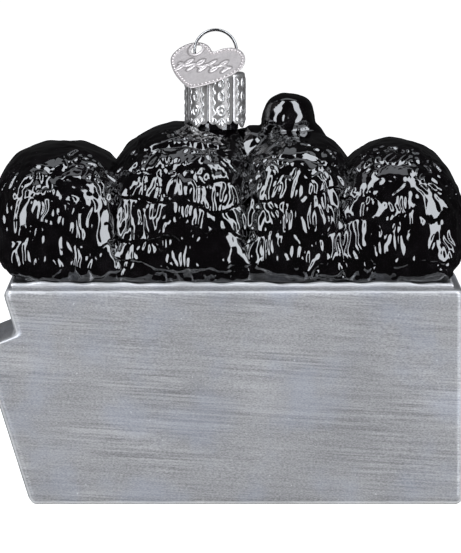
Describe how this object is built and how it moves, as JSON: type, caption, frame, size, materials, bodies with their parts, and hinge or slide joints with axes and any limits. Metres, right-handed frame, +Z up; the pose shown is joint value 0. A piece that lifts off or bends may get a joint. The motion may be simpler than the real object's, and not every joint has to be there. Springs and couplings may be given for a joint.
{
  "type": "hanging glass ornament in the form of a mine cart",
  "caption": "Blown glass hanging ornament: a plain silver mine cart tub heaped with glossy black coal, under a petalled metal cap with a wire loop and a heart tag.",
  "frame": {"origin": "middle of the flat underside of the tub", "axes": "+Z up through the neck and hanger, +X along the cart from its low, sloped end to its high, upright end, -Y towards the plain side"},
  "size_m": [0.1012, 0.042, 0.098],
  "materials": {
    "silver_lacquer": "opaque satin silver lacquer over blown glass, brushed on by hand along the cart",
    "black_lacquer": "opaque high-gloss black lacquer over blown glass",
    "silvered_glass": "bare glass, silvered inside",
    "cap_metal": "thin stamped sheet, bright plated, with toned recesses",
    "wire_steel": "drawn spring wire, bright",
    "tag_metal": "stamped sheet with a beaded border, toned in the recesses"
  },
  "bodies": {
    "glass": {"tub_glass": "silver_lacquer", "lump_low_end": "black_lacquer", "lump_wide": "black_lacquer", "lump_knobbed": "black_lacquer", "lump_high_end": "black_lacquer", "neck_glass": "silvered_glass"},
    "cap": {"neck_cap": "cap_metal"},
    "hanger": {"hanger_wire": "wire_steel"},
    "tag": {"heart_tag": "tag_metal"}
  },
  "joints": [
    {"name": "cap_turn", "type": "hinge", "parent": "glass", "child": "cap", "pos_m": [-0.0022, 0, 0.083], "axis": [0, 0, 1], "continuous": true},
    {"name": "hanger_draw", "type": "slide", "parent": "cap", "child": "hanger", "axis": [0, 0, 1], "range_m": [0, 0.004]},
    {"name": "tag_swing", "type": "hinge", "parent": "hanger", "child": "tag", "pos_m": [-0.0066, 0, 0.09334], "axis": [0, 0, 1], "range_deg": [-120, 5]}
  ]
}
